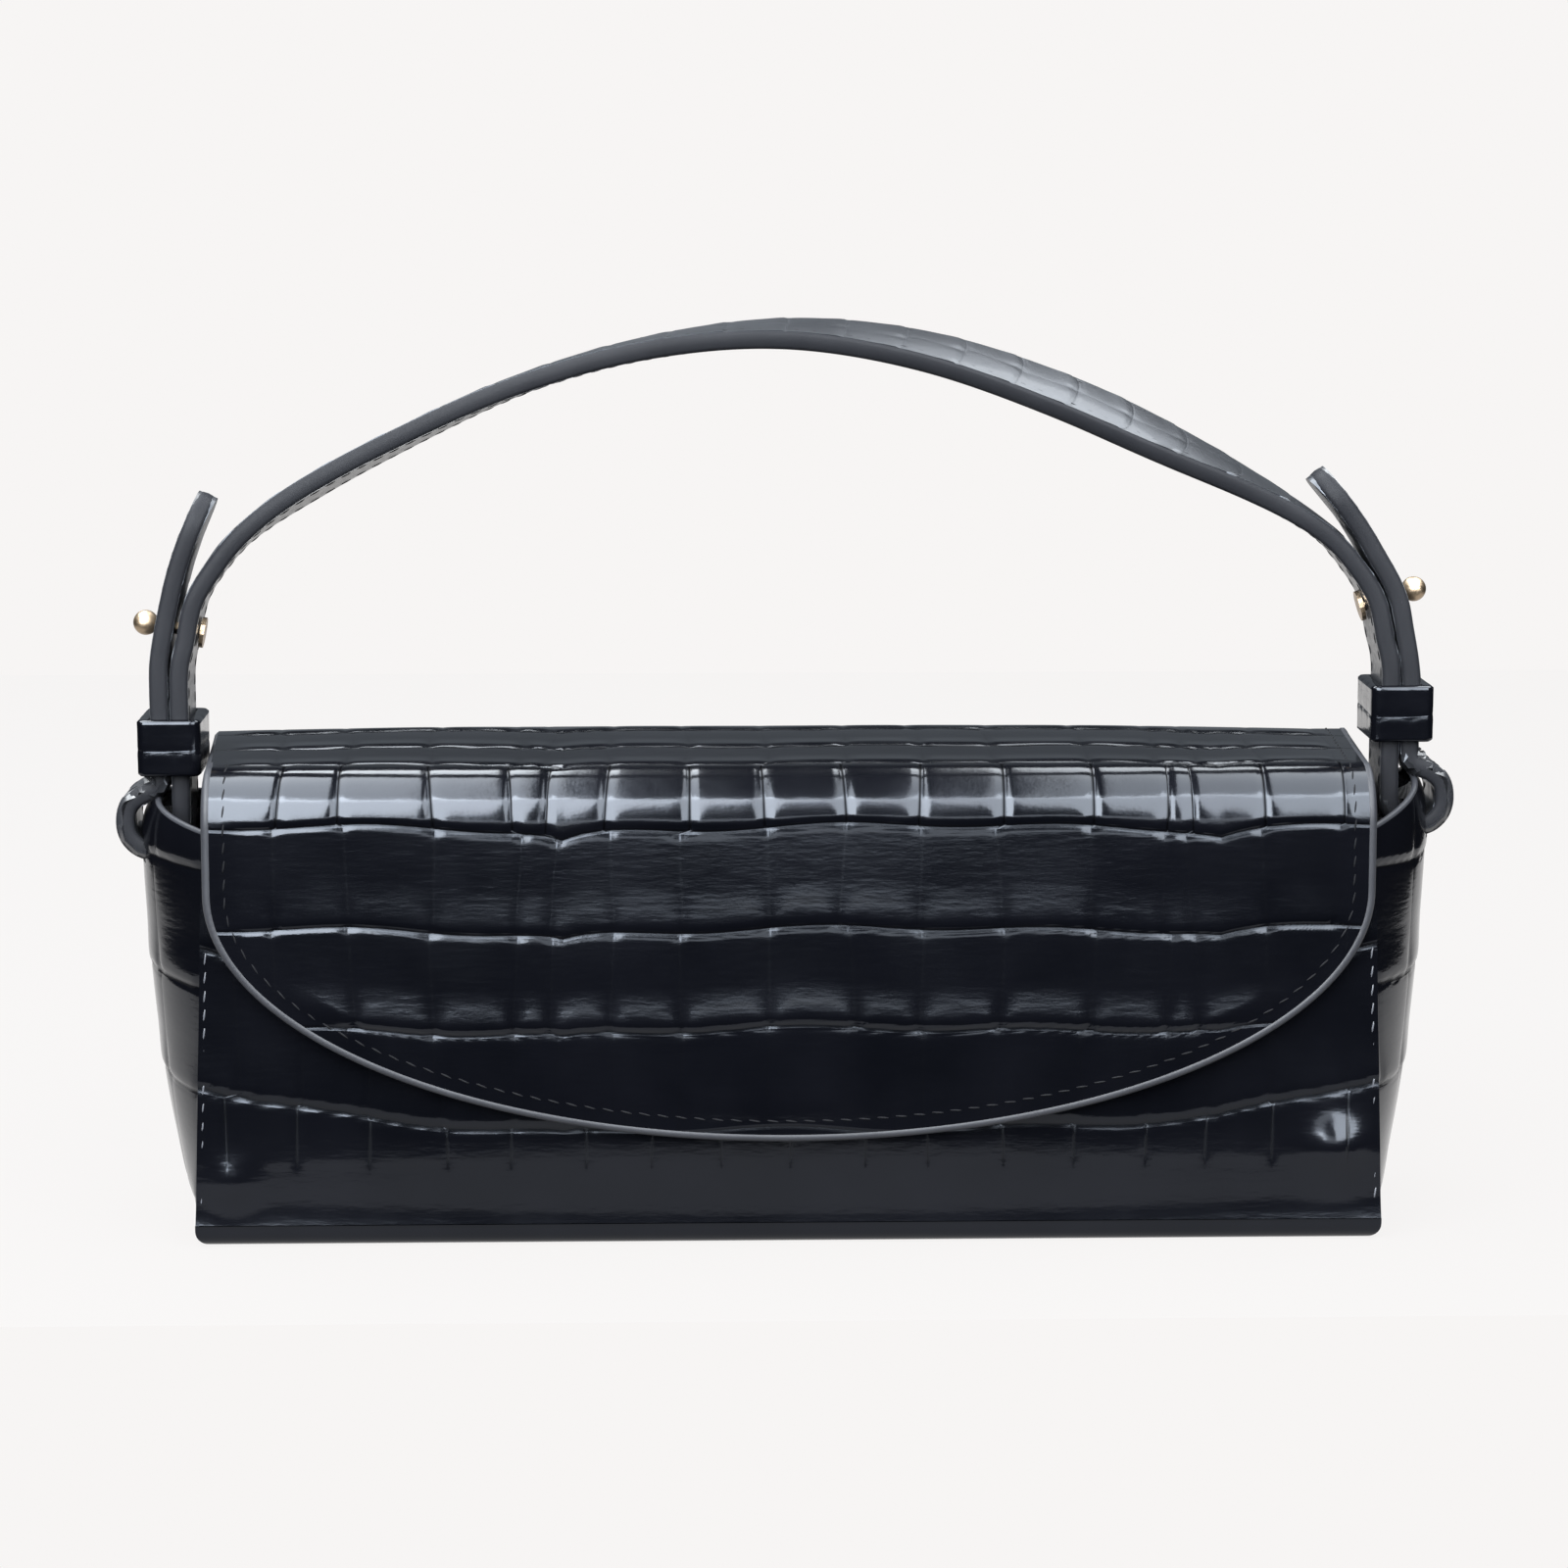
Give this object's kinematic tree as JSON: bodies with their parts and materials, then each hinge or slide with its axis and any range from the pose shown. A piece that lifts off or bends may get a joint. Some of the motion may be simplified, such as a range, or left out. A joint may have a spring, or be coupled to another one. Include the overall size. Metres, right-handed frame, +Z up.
{
  "type": "handbag",
  "caption": "Black crocodile-embossed top handle bag with a curved front flap, a strap handle looped through side gussets, sliding keepers and brass studs",
  "frame": {"origin": "centre of the base's underside, on the surface that the bag stands on", "axes": "+X along the bag's width towards its right-hand end seen from the front, +Y from front to back, +Z up"},
  "size_m": [0.2774, 0.0657, 0.1888],
  "materials": {
    "embossed_leather": "glossy",
    "strap_leather": "satin",
    "lining": "matte",
    "board": "matte",
    "brass": "polished",
    "steel": "satin"
  },
  "bodies": {
    "bag": {"front_panel": "embossed_leather", "back_panel": "embossed_leather", "base_panel": "embossed_leather", "left_gusset": "embossed_leather", "right_gusset": "embossed_leather", "front_board": "board", "back_board": "board", "base_board": "board", "front_lining": "lining", "back_lining": "lining", "base_lining": "lining", "left_gusset_lining": "lining", "right_gusset_lining": "lining", "body_magnet": "steel", "left_loop_face": "embossed_leather", "left_loop_under": "strap_leather", "right_loop_face": "embossed_leather", "right_loop_under": "strap_leather"},
    "flap_top": {"flap_top_leather": "embossed_leather", "flap_top_core": "board", "flap_top_lining": "lining"},
    "flap_front": {"flap_front_leather": "embossed_leather", "flap_front_core": "board", "flap_front_lining": "lining", "flap_magnet": "steel"},
    "handle": {"handle_face": "embossed_leather", "handle_under": "strap_leather", "left_tip_face": "embossed_leather", "left_tip_under": "strap_leather", "right_tip_face": "embossed_leather", "right_tip_under": "strap_leather", "left_stud": "brass", "right_stud": "brass", "left_stud_screw": "brass", "right_stud_screw": "brass"},
    "left_keeper": {"left_keeper": "embossed_leather"},
    "right_keeper": {"right_keeper": "embossed_leather"}
  },
  "joints": [
    {"name": "flap_lift", "type": "hinge", "parent": "bag", "child": "flap_top", "pos_m": [0, 0.03, 0.0945], "axis": [-1, 0, 0], "range_deg": [0, 34]},
    {"name": "flap_fold", "type": "hinge", "parent": "flap_top", "child": "flap_front", "pos_m": [0, -0.0227, 0.0985], "axis": [-1, 0, 0], "range_deg": [0, 110]},
    {"name": "handle_swing", "type": "hinge", "parent": "bag", "child": "handle", "pos_m": [0, 0, 0.1215], "axis": [-1, 0, 0], "range_deg": [-75, 75]},
    {"name": "left_keeper_slide", "type": "slide", "parent": "bag", "child": "left_keeper", "axis": [0, 0, 1], "range_m": [0, 0.007]},
    {"name": "right_keeper_slide", "type": "slide", "parent": "bag", "child": "right_keeper", "axis": [0, 0, 1], "range_m": [-0.0022, 0.0008]}
  ]
}
